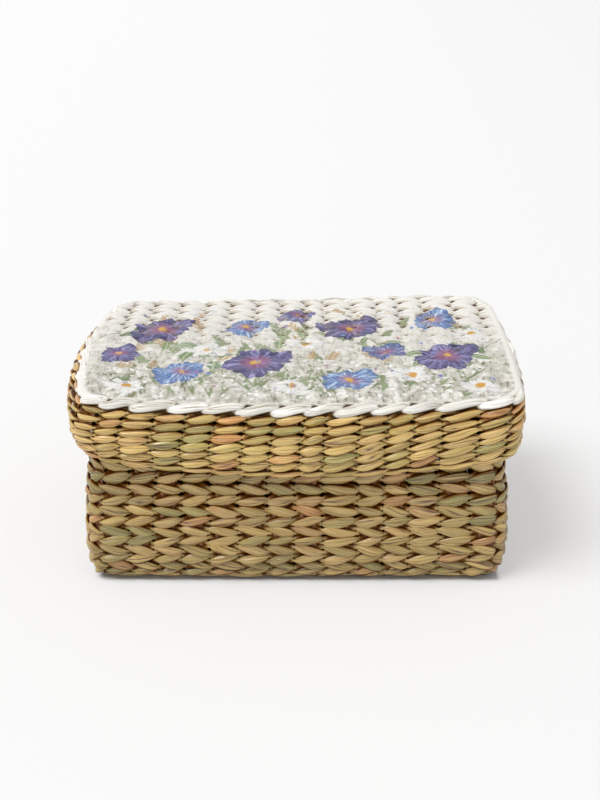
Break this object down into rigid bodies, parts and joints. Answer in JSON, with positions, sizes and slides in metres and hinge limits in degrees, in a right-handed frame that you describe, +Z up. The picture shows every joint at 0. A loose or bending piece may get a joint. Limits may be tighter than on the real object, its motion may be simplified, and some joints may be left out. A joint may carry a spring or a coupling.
{
  "type": "seagrass storage box",
  "caption": "Rectangular storage box twined from dried grass reed, with a deep lift-off lid whose white painted top carries a printed flower sheet.",
  "frame": {"origin": "middle of the underside, on the surface that the box stands on", "axes": "+X along the long side to the right as seen from the front, +Y to the back, +Z up"},
  "size_m": [0.3194, 0.217, 0.1421],
  "materials": {
    "twined_reed": "dried grass reed, satin",
    "stake_reed": "dried reed, dull, reddish brown",
    "white_painted_reed": "white water-based paint on reed, satin",
    "printed_paper": "printed tissue under clear satin varnish"
  },
  "bodies": {
    "body": {"body_base_mat": "twined_reed", "body_foot_border": "twined_reed", "body_course_01": "twined_reed", "body_course_02": "twined_reed", "body_course_03": "twined_reed", "body_course_04": "twined_reed", "body_course_05": "twined_reed", "body_course_06": "twined_reed", "body_course_07": "twined_reed", "body_course_08": "twined_reed", "body_course_09": "twined_reed", "body_course_10": "twined_reed", "body_course_11": "twined_reed", "body_course_12": "twined_reed", "body_course_13": "twined_reed", "body_course_14": "twined_reed", "body_course_15": "twined_reed", "body_rim_border": "twined_reed", "body_stake_01": "stake_reed", "body_stake_02": "stake_reed", "body_stake_03": "stake_reed", "body_stake_04": "stake_reed", "body_stake_05": "stake_reed", "body_stake_06": "stake_reed", "body_stake_07": "stake_reed", "body_stake_08": "stake_reed", "body_stake_09": "stake_reed", "body_stake_10": "stake_reed", "body_stake_11": "stake_reed", "body_stake_12": "stake_reed", "body_stake_13": "stake_reed", "body_stake_14": "stake_reed", "body_left_end_stakes": "stake_reed", "body_right_end_stakes": "stake_reed"},
    "lid": {"lid_top_mat": "white_painted_reed", "lid_top_border": "white_painted_reed", "lid_course_01": "twined_reed", "lid_course_02": "twined_reed", "lid_course_03": "twined_reed", "lid_course_04": "twined_reed", "lid_course_05": "twined_reed", "lid_course_06": "twined_reed", "lid_rim_border": "twined_reed", "lid_stake_01": "stake_reed", "lid_stake_02": "stake_reed", "lid_stake_03": "stake_reed", "lid_stake_04": "stake_reed", "lid_stake_05": "stake_reed", "lid_stake_06": "stake_reed", "lid_stake_07": "stake_reed", "lid_stake_08": "stake_reed", "lid_stake_09": "stake_reed", "lid_stake_10": "stake_reed", "lid_stake_11": "stake_reed", "lid_stake_12": "stake_reed", "lid_stake_13": "stake_reed", "lid_stake_14": "stake_reed", "lid_left_end_stakes": "stake_reed", "lid_right_end_stakes": "stake_reed", "lid_print_sheet": "printed_paper"}
  },
  "joints": [
    {"name": "lid_lift", "type": "slide", "parent": "body", "child": "lid", "axis": [0, 0, 1], "range_m": [0, 0.15]}
  ]
}
